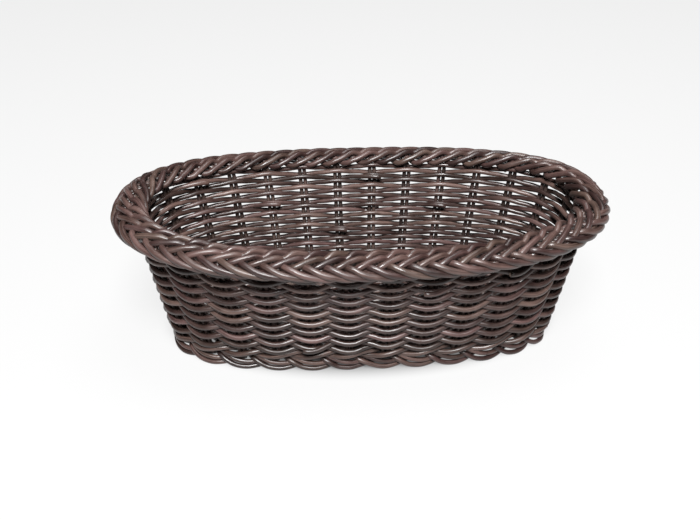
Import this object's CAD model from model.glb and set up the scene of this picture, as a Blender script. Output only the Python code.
import math
import random
from bisect import bisect_right

import bmesh
import bpy
from mathutils import Matrix, Vector, noise


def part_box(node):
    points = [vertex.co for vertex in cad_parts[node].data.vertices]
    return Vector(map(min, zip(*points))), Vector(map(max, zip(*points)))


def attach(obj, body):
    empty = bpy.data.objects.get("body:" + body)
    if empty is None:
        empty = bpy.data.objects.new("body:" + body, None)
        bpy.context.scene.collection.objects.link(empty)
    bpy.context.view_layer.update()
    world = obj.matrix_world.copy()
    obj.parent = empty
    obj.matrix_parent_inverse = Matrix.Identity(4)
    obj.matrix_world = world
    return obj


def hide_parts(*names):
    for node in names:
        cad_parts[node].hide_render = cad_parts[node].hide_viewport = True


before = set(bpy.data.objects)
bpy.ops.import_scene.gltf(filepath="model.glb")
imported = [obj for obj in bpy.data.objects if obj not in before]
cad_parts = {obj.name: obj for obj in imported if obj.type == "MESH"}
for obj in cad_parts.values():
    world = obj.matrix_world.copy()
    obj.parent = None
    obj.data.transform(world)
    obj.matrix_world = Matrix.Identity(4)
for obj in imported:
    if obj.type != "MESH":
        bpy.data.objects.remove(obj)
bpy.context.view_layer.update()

# ---- Base sticks ----
# Thin straight sticks carry the floor of the basket: eight lie across it and
# six fan out at each end. Round plastic cane, cut to length, one under each
# pair of stakes of the wall.
PAIRS = 28
TOP_OVAL = (0.137, 0.075, 2.4)
FOOT_OVAL = (0.118, 0.052, 3.0)
RIM_HEIGHT = 0.095
CANE_SIDES = 10
BASE_HEIGHT = 0.009
STICK_THICKNESS = 0.0022
HUB_OUT = 0.080
HUB_RADIUS = 0.006
STICK_STOPS_IN = 0.0012
STICK_STEPS = 12
CUT_LIP = 0.0003
CUT_FULLNESS = 0.75
PAIRS_OF_SIDE = {"right": range(-3, 3), "back": range(3, 11), "left": range(11, 17), "front": range(17, 25)}


def oval_point(oval, angle):
    """A point of an oval of that half length, half width and squareness."""
    half_length, half_width, squareness = oval
    x = math.copysign(abs(math.cos(angle)) ** (2 / squareness), math.cos(angle))
    y = math.copysign(abs(math.sin(angle)) ** (2 / squareness), math.sin(angle))
    return Vector((half_length * x, half_width * y, 0))


def shares_round(oval):
    """The share of the way round that is reached at each degree."""
    reached = [0.0]
    for degree in range(360):
        here = oval_point(oval, math.radians(degree))
        there = oval_point(oval, math.radians(degree + 1))
        reached.append(reached[-1] + (there - here).length)
    return [length / reached[-1] for length in reached]


OVAL_SHARES = {oval: shares_round(oval) for oval in (TOP_OVAL, FOOT_OVAL)}


def round_the_oval(oval, pair):
    """The point where that pair comes, with the pairs evenly spaced."""
    shares = OVAL_SHARES[oval]
    share = (pair / PAIRS) % 1
    degree = min(bisect_right(shares, share) - 1, 359)
    part = (share - shares[degree]) / (shares[degree + 1] - shares[degree])
    return oval_point(oval, math.radians(degree + part))


def wall_middle(pair, height):
    """The middle of the wall at that pair, which can be any number."""
    foot = round_the_oval(FOOT_OVAL, pair)
    top = round_the_oval(TOP_OVAL, pair)
    middle = foot.lerp(top, height / RIM_HEIGHT)
    middle.z = height
    return middle


def wall_directions(pair, height):
    """Which way is on round the basket, and which way is out of it."""
    ahead = (wall_middle(pair + 0.2, height) - wall_middle(pair - 0.2, height)).normalized()
    return ahead, Vector((ahead.y, -ahead.x, 0))


def wall_point(pair, height, out=0.0, ahead_by=0.0):
    """A point near the wall: that far out of it and that far on round it."""
    ahead, outward = wall_directions(pair, height)
    return wall_middle(pair, height) + out * outward + ahead_by * ahead


def stand(pair):
    """Pairs stand half a space away from the axes of the oval."""
    return pair + 0.5


def start_piece():
    """An empty mesh with room for each cane's grain and tone."""
    mesh = bmesh.new()
    mesh.verts.layers.float_vector.new("grain")
    mesh.verts.layers.float.new("tone")
    return mesh


def cane_stations(points):
    """Points of a cane and how full it is there: its cut ends are rounded off."""
    first = (points[1] - points[0]).normalized()
    last = (points[-1] - points[-2]).normalized()
    stations = [(points[0], CUT_FULLNESS), (points[0] + CUT_LIP * first, 1.0)]
    stations += [(point, 1.0) for point in points[1:-1]]
    stations += [(points[-1] - CUT_LIP * last, 1.0), (points[-1], CUT_FULLNESS)]
    return stations


def add_cane(mesh, points, thickness, tone, sides=CANE_SIDES):
    """One round cane along the points, cut square at both ends."""
    grain = mesh.verts.layers.float_vector["grain"]
    tones = mesh.verts.layers.float["tone"]
    stations = cane_stations(points)
    place, fullness = stations[0]
    heading = (stations[1][0] - place).normalized()
    travelled = 3.0 * tone
    turn = heading.to_track_quat("Z", "X").to_matrix()

    def mark(ring):
        """Every point knows how far along the cane it is, and on which side."""
        back = turn.transposed()
        for vert in ring:
            side = back @ (vert.co - place) / fullness
            vert[grain] = Vector((travelled, side.x, side.y))
            vert[tones] = tone

    ring = bmesh.ops.create_circle(
        mesh, cap_ends=True, segments=sides, radius=thickness / 2 * fullness,
        matrix=Matrix.Translation(place) @ turn.to_4x4(),
    )["verts"]
    cut = ring[0].link_faces[0]
    mark(ring)
    edges = list(cut.edges)
    for number in range(1, len(stations)):
        next_place, next_fullness = stations[number]
        after = stations[min(number + 1, len(stations) - 1)][0]
        next_heading = (after - place).normalized()
        grown = bmesh.ops.extrude_edge_only(mesh, edges=edges)["geom"]
        ring = [part for part in grown if isinstance(part, bmesh.types.BMVert)]
        edges = [part for part in grown if isinstance(part, bmesh.types.BMEdge)]
        bend = heading.rotation_difference(next_heading).to_matrix()
        move = (
            Matrix.Translation(next_place) @ bend.to_4x4()
            @ Matrix.Scale(next_fullness / fullness, 4) @ Matrix.Translation(-place)
        )
        bmesh.ops.transform(mesh, matrix=move, verts=ring)
        travelled += (next_place - place).length
        place, fullness, heading = next_place, next_fullness, next_heading
        turn = bend @ turn
        mark(ring)
    far_cut = bmesh.ops.edgeloop_fill(mesh, edges=edges)["faces"][0]
    cut.material_index = far_cut.material_index = 1


def finish_piece(mesh, name, finish):
    """The mesh becomes an object of smooth cane with pale cut ends."""
    bmesh.ops.recalc_face_normals(mesh, faces=mesh.faces)
    for face in mesh.faces:
        face.smooth = face.material_index == 0
    data = bpy.data.meshes.new(name)
    mesh.to_mesh(data)
    mesh.free()
    data.materials.append(finish)
    data.materials.append(cut_end)
    piece = bpy.data.objects.new(name, data)
    bpy.context.scene.collection.objects.link(piece)
    return piece


def paint(red, green, blue):
    """A colour as it is mixed by eye, made linear for the shader."""
    return [((part / 255 + 0.055) / 1.055) ** 2.4 for part in (red, green, blue)] + [1.0]


def plastic_cane(name, deep, middle, worn, roughness):
    """Moulded cane: drawn-out streaks, a tone for each length, rubbed patches."""
    material = bpy.data.materials.new(name)
    material.use_nodes = True
    nodes = material.node_tree.nodes
    links = material.node_tree.links
    shader = nodes["Principled BSDF"]
    along = nodes.new("ShaderNodeAttribute")
    along.attribute_name = "grain"
    length_tone = nodes.new("ShaderNodeAttribute")
    length_tone.attribute_name = "tone"
    place = nodes.new("ShaderNodeTexCoord")

    stretch = nodes.new("ShaderNodeMapping")
    stretch.inputs["Scale"].default_value = (45, 1500, 1500)
    links.new(along.outputs["Vector"], stretch.inputs["Vector"])
    streaks = nodes.new("ShaderNodeTexNoise")
    streaks.inputs["Scale"].default_value = 1.0
    streaks.inputs["Detail"].default_value = 4.0
    streaks.inputs["Roughness"].default_value = 0.6
    links.new(stretch.outputs["Vector"], streaks.inputs["Vector"])

    patches = nodes.new("ShaderNodeTexNoise")
    patches.inputs["Scale"].default_value = 90.0
    patches.inputs["Detail"].default_value = 3.0
    links.new(place.outputs["Object"], patches.inputs["Vector"])

    lengths = nodes.new("ShaderNodeMath")
    lengths.operation = "MULTIPLY_ADD"
    lengths.inputs[1].default_value = 0.26
    lengths.inputs[2].default_value = -0.04
    links.new(length_tone.outputs["Fac"], lengths.inputs[0])
    with_patches = nodes.new("ShaderNodeMath")
    with_patches.operation = "MULTIPLY_ADD"
    with_patches.inputs[1].default_value = 0.35
    links.new(patches.outputs["Fac"], with_patches.inputs[0])
    links.new(lengths.outputs["Value"], with_patches.inputs[2])
    with_streaks = nodes.new("ShaderNodeMath")
    with_streaks.operation = "MULTIPLY_ADD"
    with_streaks.inputs[1].default_value = 0.6
    links.new(streaks.outputs["Fac"], with_streaks.inputs[0])
    links.new(with_patches.outputs["Value"], with_streaks.inputs[2])
    shades = nodes.new("ShaderNodeValToRGB")
    shades.color_ramp.elements[0].position = 0.3
    shades.color_ramp.elements[0].color = deep
    shades.color_ramp.elements[1].position = 0.8
    shades.color_ramp.elements[1].color = worn
    body = shades.color_ramp.elements.new(0.52)
    body.color = middle
    links.new(with_streaks.outputs["Value"], shades.inputs["Fac"])

    batch = nodes.new("ShaderNodeTexWhiteNoise")
    batch.noise_dimensions = "1D"
    links.new(length_tone.outputs["Fac"], batch.inputs["W"])
    hue = nodes.new("ShaderNodeHueSaturation")
    hue_turn = nodes.new("ShaderNodeMapRange")
    hue_turn.inputs["To Min"].default_value = 0.488
    hue_turn.inputs["To Max"].default_value = 0.515
    links.new(batch.outputs["Value"], hue_turn.inputs["Value"])
    links.new(hue_turn.outputs["Result"], hue.inputs["Hue"])
    links.new(shades.outputs["Color"], hue.inputs["Color"])
    links.new(hue.outputs["Color"], shader.inputs["Base Color"])

    rubbed = nodes.new("ShaderNodeMapRange")
    rubbed.inputs["From Min"].default_value = 0.3
    rubbed.inputs["From Max"].default_value = 0.7
    rubbed.inputs["To Min"].default_value = roughness - 0.07
    rubbed.inputs["To Max"].default_value = roughness + 0.1
    links.new(patches.outputs["Fac"], rubbed.inputs["Value"])
    links.new(rubbed.outputs["Result"], shader.inputs["Roughness"])

    ridges = nodes.new("ShaderNodeBump")
    ridges.inputs["Strength"].default_value = 0.35
    ridges.inputs["Distance"].default_value = 0.0002
    links.new(streaks.outputs["Fac"], ridges.inputs["Height"])
    links.new(ridges.outputs["Normal"], shader.inputs["Normal"])
    shader.inputs["Specular IOR Level"].default_value = 0.5
    return material


def cut_plastic():
    """The dull face of a sawn or snipped cane, a little paler than its skin."""
    material = bpy.data.materials.new("cut_end")
    material.use_nodes = True
    nodes = material.node_tree.nodes
    links = material.node_tree.links
    shader = nodes["Principled BSDF"]
    place = nodes.new("ShaderNodeTexCoord")
    saw = nodes.new("ShaderNodeTexNoise")
    saw.inputs["Scale"].default_value = 1500.0
    links.new(place.outputs["Object"], saw.inputs["Vector"])
    shades = nodes.new("ShaderNodeValToRGB")
    shades.color_ramp.elements[0].color = paint(96, 78, 70)
    shades.color_ramp.elements[1].color = paint(158, 138, 126)
    links.new(saw.outputs["Fac"], shades.inputs["Fac"])
    links.new(shades.outputs["Color"], shader.inputs["Base Color"])
    shader.inputs["Roughness"].default_value = 0.7
    return material


cut_end = cut_plastic()
base_cane = plastic_cane("base_cane", paint(30, 19, 16), paint(56, 41, 37), paint(92, 74, 69), 0.36)


def stick_tip(pair):
    """Where a stick ends, under the foot of a pair of stakes."""
    return wall_point(stand(pair), BASE_HEIGHT, out=-STICK_STOPS_IN)


def stick_line(pair):
    """The two ends of the stick under a pair: its tip and its inner end."""
    tip = stick_tip(pair)
    if pair in PAIRS_OF_SIDE["back"] or pair in PAIRS_OF_SIDE["front"]:
        return tip, Vector((tip.x, 0, BASE_HEIGHT))
    hub = Vector((math.copysign(HUB_OUT, tip.x), 0, BASE_HEIGHT))
    return tip, hub + HUB_RADIUS * (tip - hub).normalized()


def stick_points(tip, inner):
    """A straight stick, from its tip to its inner end."""
    return [tip.lerp(inner, step / STICK_STEPS) for step in range(STICK_STEPS + 1)]


chance = random.Random(5)
mesh = start_piece()
for pair in PAIRS_OF_SIDE["back"]:
    far_tip = stick_tip(PAIRS - 1 - pair)
    add_cane(mesh, stick_points(stick_tip(pair), far_tip), STICK_THICKNESS, chance.random(), 8)
piece = finish_piece(mesh, "base_sticks_across", base_cane)
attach(piece, "root")
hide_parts("base_sticks_cross")

for end in ("left", "right"):
    mesh = start_piece()
    for pair in PAIRS_OF_SIDE[end]:
        add_cane(mesh, stick_points(*stick_line(pair)), STICK_THICKNESS, chance.random(), 8)
    piece = finish_piece(mesh, "base_sticks_fan_" + end, base_cane)
    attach(piece, "root")
    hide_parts("base_sticks_" + end)


# ---- Base weaving ----
# Rounds of thick cane fill the floor, each one over and under the sticks in
# turn, from the middle out to the wall. Every round is one length whose two
# ends meet on a stick.
ROUNDS = 12
OUTER_ROUND_IN = 0.0042
ROUND_PITCH = 0.0040
WEAVER_THICKNESS = 0.0032
ROUND_STEPS = 216
SEARCH_STEPS = 200


def round_at(oval, step):
    """The point of a round at one of its steps."""
    return oval_point(oval, 2 * math.pi * step / ROUND_STEPS)


def crossings(oval):
    """The steps of the round at which it crosses the sticks, in order."""
    found = []
    for pair in range(PAIRS):
        tip, inner = stick_line(pair)
        started_inside = False
        for part in range(SEARCH_STEPS + 1):
            here = inner.lerp(tip, part / SEARCH_STEPS)
            outside = abs(here.x / oval[0]) ** oval[2] + abs(here.y / oval[1]) ** oval[2] > 1
            if outside and started_inside:
                nearest = min(
                    range(ROUND_STEPS),
                    key=lambda step: (round_at(oval, step) - Vector((here.x, here.y, 0))).length,
                )
                found.append(nearest)
                break
            if not outside:
                started_inside = True
    return sorted(found)


def base_round(number):
    """One round of the floor, up over a stick and down under the next."""
    inset = OUTER_ROUND_IN + number * ROUND_PITCH
    oval = (FOOT_OVAL[0] - inset, FOOT_OVAL[1] - inset, FOOT_OVAL[2])
    sticks = crossings(oval)
    lift = (STICK_THICKNESS + WEAVER_THICKNESS) / 2
    points = []
    for step in range(sticks[0], sticks[0] + ROUND_STEPS + 1):
        turned = step % ROUND_STEPS
        later = bisect_right(sticks, turned)
        this_stick = sticks[later - 1]
        next_stick = sticks[later % len(sticks)]
        gap = (next_stick - this_stick) % ROUND_STEPS
        part = ((turned - this_stick) % ROUND_STEPS) / gap
        wave = math.cos(math.pi * (later + part + number))
        point = round_at(oval, turned)
        point.z = BASE_HEIGHT + lift * wave
        points.append(point)
    return points


chance = random.Random(11)
for couple in range(ROUNDS // 2):
    mesh = start_piece()
    for number in (2 * couple, 2 * couple + 1):
        add_cane(mesh, base_round(number), WEAVER_THICKNESS, chance.random(), 8)
    piece = finish_piece(mesh, "base_weaving_%d" % (couple + 1), base_cane)
    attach(piece, "root")
    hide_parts("base_rounds_%d" % (couple + 1))


# ---- Foot border ----
# At each pair of stakes two rods come down behind the next crescent, bow out
# to the table and tuck in behind the one after it. The same round cane as the
# weavers, doubled.
ROD_THICKNESS = 0.0030
foot_cane = plastic_cane("foot_cane", paint(20, 12, 10), paint(47, 33, 30), paint(86, 66, 61), 0.33)


def spline_point(before, start, stop, after, t):
    """A point between start and stop on a smooth curve through all four."""
    return 0.5 * (
        2 * start + t * (stop - before)
        + t * t * (2 * before - 5 * start + 4 * stop - after)
        + t * t * t * (3 * start - before - 3 * stop + after)
    )


def curve_through(points, steps):
    """A smooth curve through the points, with that many steps between two."""
    ends = [2 * points[0] - points[1]] + points + [2 * points[-1] - points[-2]]
    curve = []
    for number in range(1, len(ends) - 2):
        before, start, stop, after = ends[number - 1:number + 3]
        curve += [spline_point(before, start, stop, after, step / steps) for step in range(steps)]
    return curve + [points[-1]]


def lower_rod(pair):
    """The rod that rests on the table."""
    return [
        wall_point(pair + 0.10, 0.0085, out=-0.0030),
        wall_point(pair + 0.35, 0.0062, out=0.0010),
        wall_point(pair + 0.65, 0.0029, out=0.0027),
        wall_point(pair + 1.00, 0.0016, out=0.0027),
        wall_point(pair + 1.32, 0.0019, out=0.0008),
        wall_point(pair + 1.62, 0.0026, out=-0.0026),
        wall_point(pair + 1.95, 0.0034, out=-0.0060),
    ]


def upper_rod(pair):
    """The rod that lies on the first, a little further in."""
    return [
        wall_point(pair + 0.30, 0.0096, out=-0.0024),
        wall_point(pair + 0.52, 0.0084, out=0.0006),
        wall_point(pair + 0.80, 0.0062, out=0.0020),
        wall_point(pair + 1.12, 0.0050, out=0.0015),
        wall_point(pair + 1.42, 0.0051, out=-0.0010),
        wall_point(pair + 1.75, 0.0058, out=-0.0048),
    ]


chance = random.Random(17)
for side, pairs in PAIRS_OF_SIDE.items():
    mesh = start_piece()
    for pair in pairs:
        for rod in (lower_rod(stand(pair)), upper_rod(stand(pair))):
            add_cane(mesh, curve_through(rod, 5), ROD_THICKNESS, chance.random())
    piece = finish_piece(mesh, "foot_crescents_" + side, foot_cane)
    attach(piece, "root")
    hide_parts("foot_border_" + side)


# ---- Stakes ----
# Thin upright canes, two at each place, hold the weaving. Above the last row
# they lean over into the plait, and the ends that came through it are snipped
# off and show as short stubs.
STAKE_THICKNESS = 0.0027
PAIR_GAP = 0.0031
STAKE_FOOT = 0.0085
RIM_DIP = 0.005
TOP_ROW_BELOW_RIM = 0.0102
STUB_BELOW_RIM = 0.0105
STUB_OUT = 0.0052
stake_cane = plastic_cane("stake_cane", paint(18, 11, 10), paint(44, 33, 30), paint(82, 66, 61), 0.36)


def rim_height(pair):
    """The crown of the rim, which dips along the two long sides."""
    return RIM_HEIGHT - RIM_DIP * (round_the_oval(TOP_OVAL, pair).y / TOP_OVAL[1]) ** 2


def stake(pair, side, lean):
    """One stake of a pair, from the foot to inside the plait."""
    last_row = rim_height(pair) - TOP_ROW_BELOW_RIM
    across = side * PAIR_GAP / 2
    return [
        wall_point(pair, STAKE_FOOT, ahead_by=across),
        wall_point(pair, 0.030, ahead_by=across),
        wall_point(pair, 0.052, ahead_by=across),
        wall_point(pair, last_row - 0.004, ahead_by=across),
        wall_point(pair, last_row, ahead_by=across + 0.15 * lean),
        wall_point(pair, last_row + 0.0028, out=0.0002, ahead_by=across + 0.6 * lean),
        wall_point(pair, last_row + 0.0056, out=0.0012, ahead_by=across + 1.2 * lean),
    ]


def stub(pair, length, slant):
    """The snipped end of a stake, out and down between wall and plait."""
    height = rim_height(pair) - STUB_BELOW_RIM
    return [
        wall_point(pair, height, out=0.0030),
        wall_point(pair, height - 0.0012, out=STUB_OUT, ahead_by=0.5 * slant),
        wall_point(pair, height - 0.0032, out=STUB_OUT + length, ahead_by=slant),
    ]


chance = random.Random(23)
for side, pairs in PAIRS_OF_SIDE.items():
    mesh = start_piece()
    for pair in pairs:
        leans = (chance.uniform(0.0004, 0.0014), chance.uniform(0.0030, 0.0048))
        for across, lean in zip((1, -1), leans):
            way = curve_through(stake(stand(pair), across, lean), 4)
            add_cane(mesh, way, STAKE_THICKNESS, chance.random(), 8)
        end = stub(
            stand(pair) + chance.uniform(0.15, 0.45), chance.uniform(0.0012, 0.0042),
            chance.uniform(0.001, 0.005),
        )
        add_cane(mesh, curve_through(end, 2), STAKE_THICKNESS, chance.random(), 8)
    piece = finish_piece(mesh, "wall_stakes_" + side, stake_cane)
    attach(piece, "root")
    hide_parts("stakes_" + side)


# ---- Foot pairing ----
# Two weavers twist round each other below the rows and lock the stakes: each
# goes outside one pair and inside the next, and climbs as it goes.
PAIRING_HEIGHT = 0.0118
PAIRING_TWIST = 0.0018
PAIRING_ENDS_APART = 9
WEAVE_REACH = 0.0027
BAY_STEPS = 8
weaver_cane = plastic_cane("weaver_cane", paint(20, 12, 10), paint(55, 40, 37), paint(102, 80, 75), 0.35)


def pairing_strand(number):
    """One of the two twisted weavers."""
    points = []
    for step in range(PAIRS * BAY_STEPS + 1):
        pair = PAIRING_ENDS_APART * number + step / BAY_STEPS
        phase = math.pi * (pair - 0.5 + number)
        height = PAIRING_HEIGHT + PAIRING_TWIST * math.sin(phase)
        points.append(wall_point(pair, height, out=WEAVE_REACH * math.cos(phase)))
    return points


chance = random.Random(29)
for number, node in enumerate(("foot_binding_lower", "foot_binding_upper")):
    mesh = start_piece()
    add_cane(mesh, pairing_strand(number), WEAVER_THICKNESS, chance.random())
    piece = finish_piece(mesh, "foot_pairing_%d" % (number + 1), weaver_cane)
    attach(piece, "root")
    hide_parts(node)


# ---- Wall weaving ----
# Twenty rows of round cane run outside one pair of stakes, where they sag, and
# inside the next, and the rows between go the other way. Each row is one
# length whose ends lap behind a pair, or in a few places in front of one.
ROWS = 20
ROW_SAG = 0.0019
LAP = 0.25
LAP_SETTLES = 0.8
UNEVEN = 0.0003
OUTSIDE_LAPS = {2: 19, 15: 22, 17: 24, 11: 5, 6: 13}
first_row_low, first_row_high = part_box("weaver_row_01")
FIRST_ROW_HEIGHT = (first_row_low.z + first_row_high.z) / 2


def row_height(row, pair):
    """The rows spread out a little towards the two high ends of the rim."""
    last = rim_height(pair) - TOP_ROW_BELOW_RIM
    return FIRST_ROW_HEIGHT + (last - FIRST_ROW_HEIGHT) * (row - 1) / (ROWS - 1)


def in_and_out(phase):
    """Outside at 1 and inside at -1, flat where the cane lies on the stakes."""
    wave = math.cos(math.pi * phase)
    return wave * (1.12 - 0.12 * wave * wave)


def weaver(row):
    """One length of cane round the wall. It starts beside its own far end and
    settles into the row."""
    shift = (row + 1) % 2
    wanted_side = 1 if row in OUTSIDE_LAPS else -1
    lap_pair = OUTSIDE_LAPS.get(row, (row * 5) % PAIRS)
    if in_and_out(lap_pair + shift) * wanted_side < 0:
        lap_pair += 1
    start = stand(lap_pair)
    points = []
    for step in range(int((PAIRS + 2 * LAP) * BAY_STEPS) + 1):
        run = step / BAY_STEPS - LAP
        pair = start + run
        settled = min(max((run + LAP) / LAP_SETTLES, 0), 1)
        aside = WEAVER_THICKNESS * (1 - settled * settled * (3 - 2 * settled))
        wobble = noise.noise(Vector((0.9 * pair, 5.3 * row, 0.5)))
        sway = noise.noise(Vector((0.6 * pair, 3.1 * row, 7.5)))
        bow = in_and_out(pair - 0.5 + shift)
        out = (WEAVE_REACH + UNEVEN * sway) * bow + wanted_side * aside
        height = row_height(row, pair) - ROW_SAG * bow * math.sqrt(abs(bow)) + UNEVEN * wobble
        points.append(wall_point(pair, height, out=out))
    return points


chance = random.Random(31)
for row in range(1, ROWS + 1):
    mesh = start_piece()
    add_cane(mesh, weaver(row), WEAVER_THICKNESS, chance.random())
    piece = finish_piece(mesh, "wall_weaver_%02d" % row, weaver_cane)
    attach(piece, "root")
    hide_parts("weaver_row_%02d" % row)


# ---- Rim plait ----
# Eight canes are plaited flat over the top of the wall. Each one climbs from
# the outer edge to the inner edge in two long bows, turns over the edge, goes
# back under the others, and comes out again for one bow down to the outside.
STRANDS = 8
LOBES = 60
CLOSER_IN_FRONT = 0.066
RIM_THICKNESS = 0.0037
LAYER = 0.0017
HALF_WIDTH = 0.009
HIDDEN_END = 5.2
SWAY = 0.00035
RISE = 0.0002
rim_cane = plastic_cane("rim_cane", paint(18, 11, 9), paint(50, 36, 33), paint(92, 72, 67), 0.34)
# The middle of the plait, from the outer edge to the inner: out of the wall,
# and height below the crown
PLAIT_SECTION = [
    Vector((0.0106, -0.0092)),
    Vector((0.0086, -0.0056)),
    Vector((0.0042, -0.0030)),
    Vector((-0.0014, -0.0020)),
    Vector((-0.0062, -0.0060)),
]
# The way of one cane over eight lobes: how many lobes on, how far across from
# the outer edge (-9) to the inner edge (9), and layer, over 1 or under -1
STRAND_WAY = [
    Vector((0.0, -8.9, -0.9)),
    Vector((0.45, -7.0, -1.2)),
    Vector((0.85, -5.2, -0.8)),
    Vector((1.1, -3.9, 0.2)),
    Vector((1.35, -2.9, 1.0)),
    Vector((1.85, -0.7, 1.15)),
    Vector((2.35, 1.4, 0.8)),
    Vector((2.65, 2.5, -0.3)),
    Vector((2.85, 3.3, 0.0)),
    Vector((3.1, 4.5, 0.9)),
    Vector((3.6, 6.7, 1.1)),
    Vector((4.1, 8.5, 0.8)),
    Vector((4.4, 9.3, 0.0)),
    Vector((4.7, 8.6, -0.9)),
    Vector((5.05, 5.6, -1.4)),
    Vector((5.35, 2.0, -1.4)),
    Vector((5.6, -0.9, -0.8)),
    Vector((5.8, -2.6, 0.5)),
    Vector((6.0, -3.7, 1.05)),
    Vector((6.5, -5.9, 1.15)),
    Vector((7.0, -7.4, 0.9)),
    Vector((7.5, -8.6, 0.2)),
]


def periodic_curve(points, period, steps):
    """A smooth curve through points that come again, shifted by the period."""
    turn = points[-1:] + points + points[:2]
    turn[0] = turn[0] - period
    turn[-2] = turn[-2] + period
    turn[-1] = turn[-1] + period
    curve = []
    for number in range(1, len(turn) - 2):
        before, start, stop, after = turn[number - 1:number + 3]
        curve += [spline_point(before, start, stop, after, step / steps) for step in range(steps)]
    return curve


PLAIT_MIDDLE = curve_through(PLAIT_SECTION, 6)


def plait_point(pair, across, layer):
    """A point of the plait: across it in metres, and above or below its middle."""
    share = (across / HALF_WIDTH + 1) / 2 * (len(PLAIT_MIDDLE) - 1)
    number = min(max(int(math.floor(share)), 0), len(PLAIT_MIDDLE) - 2)
    here = PLAIT_MIDDLE[number].lerp(PLAIT_MIDDLE[number + 1], share - number)
    slope = (PLAIT_MIDDLE[number + 1] - PLAIT_MIDDLE[number]).normalized()
    here = here + layer * Vector((slope.y, -slope.x))
    point = wall_point(pair, RIM_HEIGHT, out=here.x)
    point.z = rim_height(pair) + here.y
    return point


def pair_of_lobe(lobe):
    """Where a lobe comes, in pairs. The plaiting is tighter along the front."""
    back = LOBES / 4
    around = 2 * math.pi / LOBES
    return PAIRS / LOBES * (lobe + CLOSER_IN_FRONT / around * math.sin(around * (lobe - back)))


def rim_strand(number):
    """One cane of the plait. Its ends butt under the others, where they are out
    of sight: half of the canes go a little over once round, and half a little
    under, because the lobes don't divide by the canes."""
    periods = math.ceil(LOBES / STRANDS) if number < STRANDS / 2 else math.floor(LOBES / STRANDS)
    way = periodic_curve(STRAND_WAY, Vector((STRANDS, 0, 0)), 3)
    points = []
    for turn in range(periods + 1):
        for step in way:
            lobe = STRANDS * turn + step.x
            if HIDDEN_END <= lobe <= HIDDEN_END + STRANDS * periods:
                pair = pair_of_lobe(lobe + number)
                sway = SWAY * noise.noise(Vector((1.1 * pair, 2.7 * number, 3.5)))
                rise = RISE * noise.noise(Vector((1.3 * pair, 4.1 * number, 9.5)))
                points.append(plait_point(pair, step.y / 1000 + sway, step.z * LAYER + rise))
    return points


def stake_tail(pair, slant, reach):
    """The thin end of a stake that lies between the canes of the plait."""
    return [
        plait_point(pair, 0.0052, -0.0022),
        plait_point(pair + 0.3 * slant, 0.0030, -0.0016),
        plait_point(pair + 0.7 * slant, -0.0015, -0.0012),
        plait_point(pair + slant, -0.0015 - reach, -0.0012),
    ]


chance = random.Random(37)
for number in range(STRANDS):
    mesh = start_piece()
    add_cane(mesh, rim_strand(number), RIM_THICKNESS, chance.random())
    piece = finish_piece(mesh, "rim_plait_cane_%d" % (number + 1), rim_cane)
    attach(piece, "root")
    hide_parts("rim_plait_strand_%d" % (number + 1))

mesh = start_piece()
for pair in range(PAIRS):
    for across in (0.05, 0.3, 0.55, 0.8):
        tail = stake_tail(
            stand(pair) + across + chance.uniform(-0.05, 0.05), chance.uniform(0.15, 0.4),
            chance.uniform(0.002, 0.0055),
        )
        add_cane(mesh, curve_through(tail, 3), STAKE_THICKNESS, chance.random(), 8)
piece = finish_piece(mesh, "rim_stake_tails", stake_cane)
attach(piece, "root")


# ---- Floor, light and camera ----
# A plain white floor that glows a little, a soft light from above and a
# stronger one from high in front.
FLOOR_GLOW = 0.82


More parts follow.
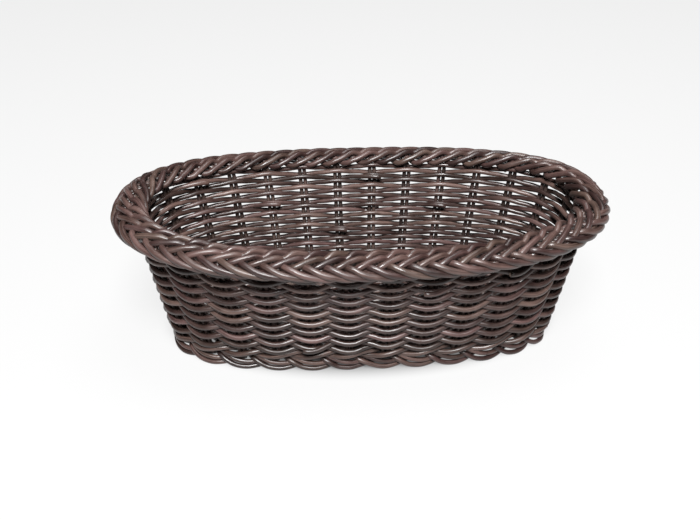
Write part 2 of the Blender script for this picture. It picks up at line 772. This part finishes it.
def studio_floor():
    """White floor that glows a little, less where the basket stands."""
    mesh = bmesh.new()
    bmesh.ops.create_circle(mesh, cap_ends=True, segments=64, radius=4.0)
    data = bpy.data.meshes.new("floor")
    mesh.to_mesh(data)
    mesh.free()
    floor = bpy.data.objects.new("floor", data)
    bpy.context.scene.collection.objects.link(floor)
    material = bpy.data.materials.new("floor_paint")
    material.use_nodes = True
    nodes = material.node_tree.nodes
    links = material.node_tree.links
    shader = nodes["Principled BSDF"]
    shader.inputs["Base Color"].default_value = (0.08, 0.08, 0.08, 1)
    shader.inputs["Roughness"].default_value = 0.95
    shader.inputs["Specular IOR Level"].default_value = 0.0
    shader.inputs["Emission Color"].default_value = (1, 1, 1, 1)
    place = nodes.new("ShaderNodeTexCoord")
    shape = nodes.new("ShaderNodeMapping")
    shape.inputs["Scale"].default_value = (1 / 0.14, 1 / 0.072, 0)
    away = nodes.new("ShaderNodeVectorMath")
    away.operation = "LENGTH"
    glow = nodes.new("ShaderNodeMapRange")
    glow.interpolation_type = "SMOOTHSTEP"
    glow.inputs["From Min"].default_value = 0.6
    glow.inputs["From Max"].default_value = 0.95
    glow.inputs["To Max"].default_value = FLOOR_GLOW
    links.new(place.outputs["Object"], shape.inputs["Vector"])
    links.new(shape.outputs["Vector"], away.inputs[0])
    links.new(away.outputs["Value"], glow.inputs["Value"])
    links.new(glow.outputs["Result"], shader.inputs["Emission Strength"])
    data.materials.append(material)


def soft_light(name, place, aim, size, power):
    data = bpy.data.lights.new(name, "AREA")
    data.size = size
    data.energy = power
    light = bpy.data.objects.new(name, data)
    light.location = place
    light.rotation_euler = (aim - place).to_track_quat("-Z", "Y").to_euler()
    bpy.context.scene.collection.objects.link(light)


studio_floor()
middle = Vector((0, 0, 0.05))
soft_light("overhead", Vector((0.2, 0.1, 1.3)), middle, 0.7, 10)
soft_light("front", Vector((-0.05, -0.85, 1.08)), middle, 0.45, 42)

world = bpy.data.worlds.new("studio")
world.use_nodes = True
world.node_tree.nodes["Background"].inputs["Color"].default_value = (1, 1, 1, 1)
world.node_tree.nodes["Background"].inputs["Strength"].default_value = 0.02
bpy.context.scene.world = world
bpy.context.scene.view_settings.view_transform = "Standard"

camera_place = Vector((-0.03375, -0.45188, 0.29629))
camera_aim = Vector((-0.00729, 0, 0.04523))
camera_data = bpy.data.cameras.new("camera")
camera_data.lens = 41.66
camera_data.sensor_width = 36
camera = bpy.data.objects.new("camera", camera_data)
camera.location = camera_place
camera.rotation_euler = (camera_aim - camera_place).to_track_quat("-Z", "Y").to_euler()
bpy.context.scene.collection.objects.link(camera)
bpy.context.scene.camera = camera
